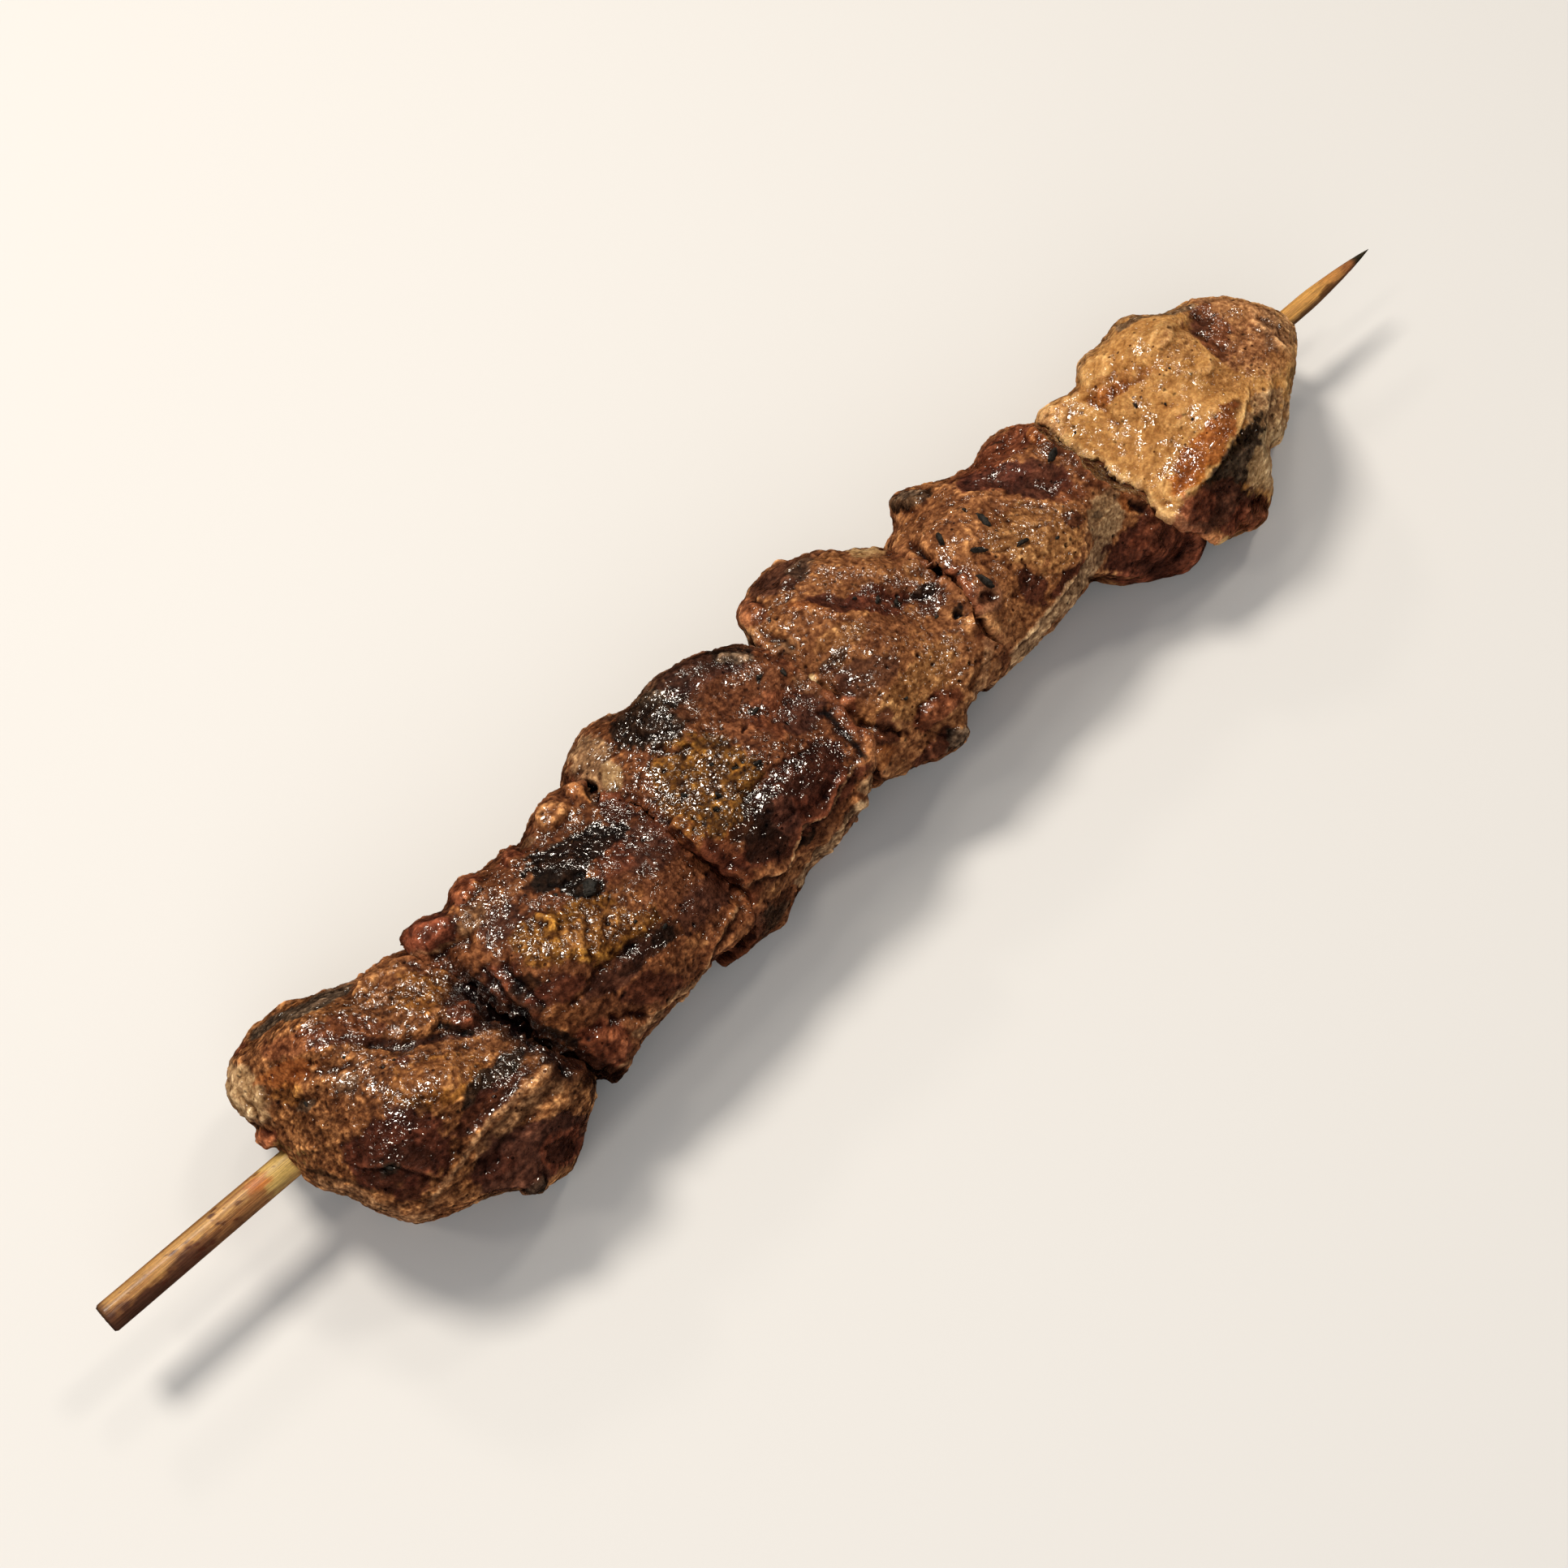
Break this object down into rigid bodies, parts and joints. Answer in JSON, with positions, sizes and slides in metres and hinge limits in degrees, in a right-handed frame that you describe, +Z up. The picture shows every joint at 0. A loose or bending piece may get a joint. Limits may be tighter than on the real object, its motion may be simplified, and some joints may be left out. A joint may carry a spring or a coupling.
{
  "type": "lamb shish kebab",
  "caption": "Grilled lamb shish kebab: browned chunks of lamb threaded on a sharpened bamboo skewer, lying on its side.",
  "frame": {"origin": "on the surface the kebab lies on, under the middle of its bounding box, which is under the middle of the skewer's length", "axes": "+X along the skewer from its blunt butt end to its sharpened point, +Z up, +Y across the kebab"},
  "size_m": [0.25, 0.0458, 0.0299],
  "materials": {
    "grilled_lamb": "grilled lamb: moist browned crust with dark char, maroon juices and paler cut edges",
    "grilled_lamb_fat": "grilled lamb with a golden fat cap: moist, bumpy, with brown streaks and a charred band",
    "bamboo": "golden split bamboo with lengthwise fibres and brown scorch marks"
  },
  "bodies": {
    "root": {"skewer": "bamboo", "chunk_1": "grilled_lamb", "chunk_2": "grilled_lamb", "chunk_3": "grilled_lamb", "chunk_4": "grilled_lamb", "chunk_5": "grilled_lamb", "chunk_6": "grilled_lamb_fat"}
  },
  "joints": []
}
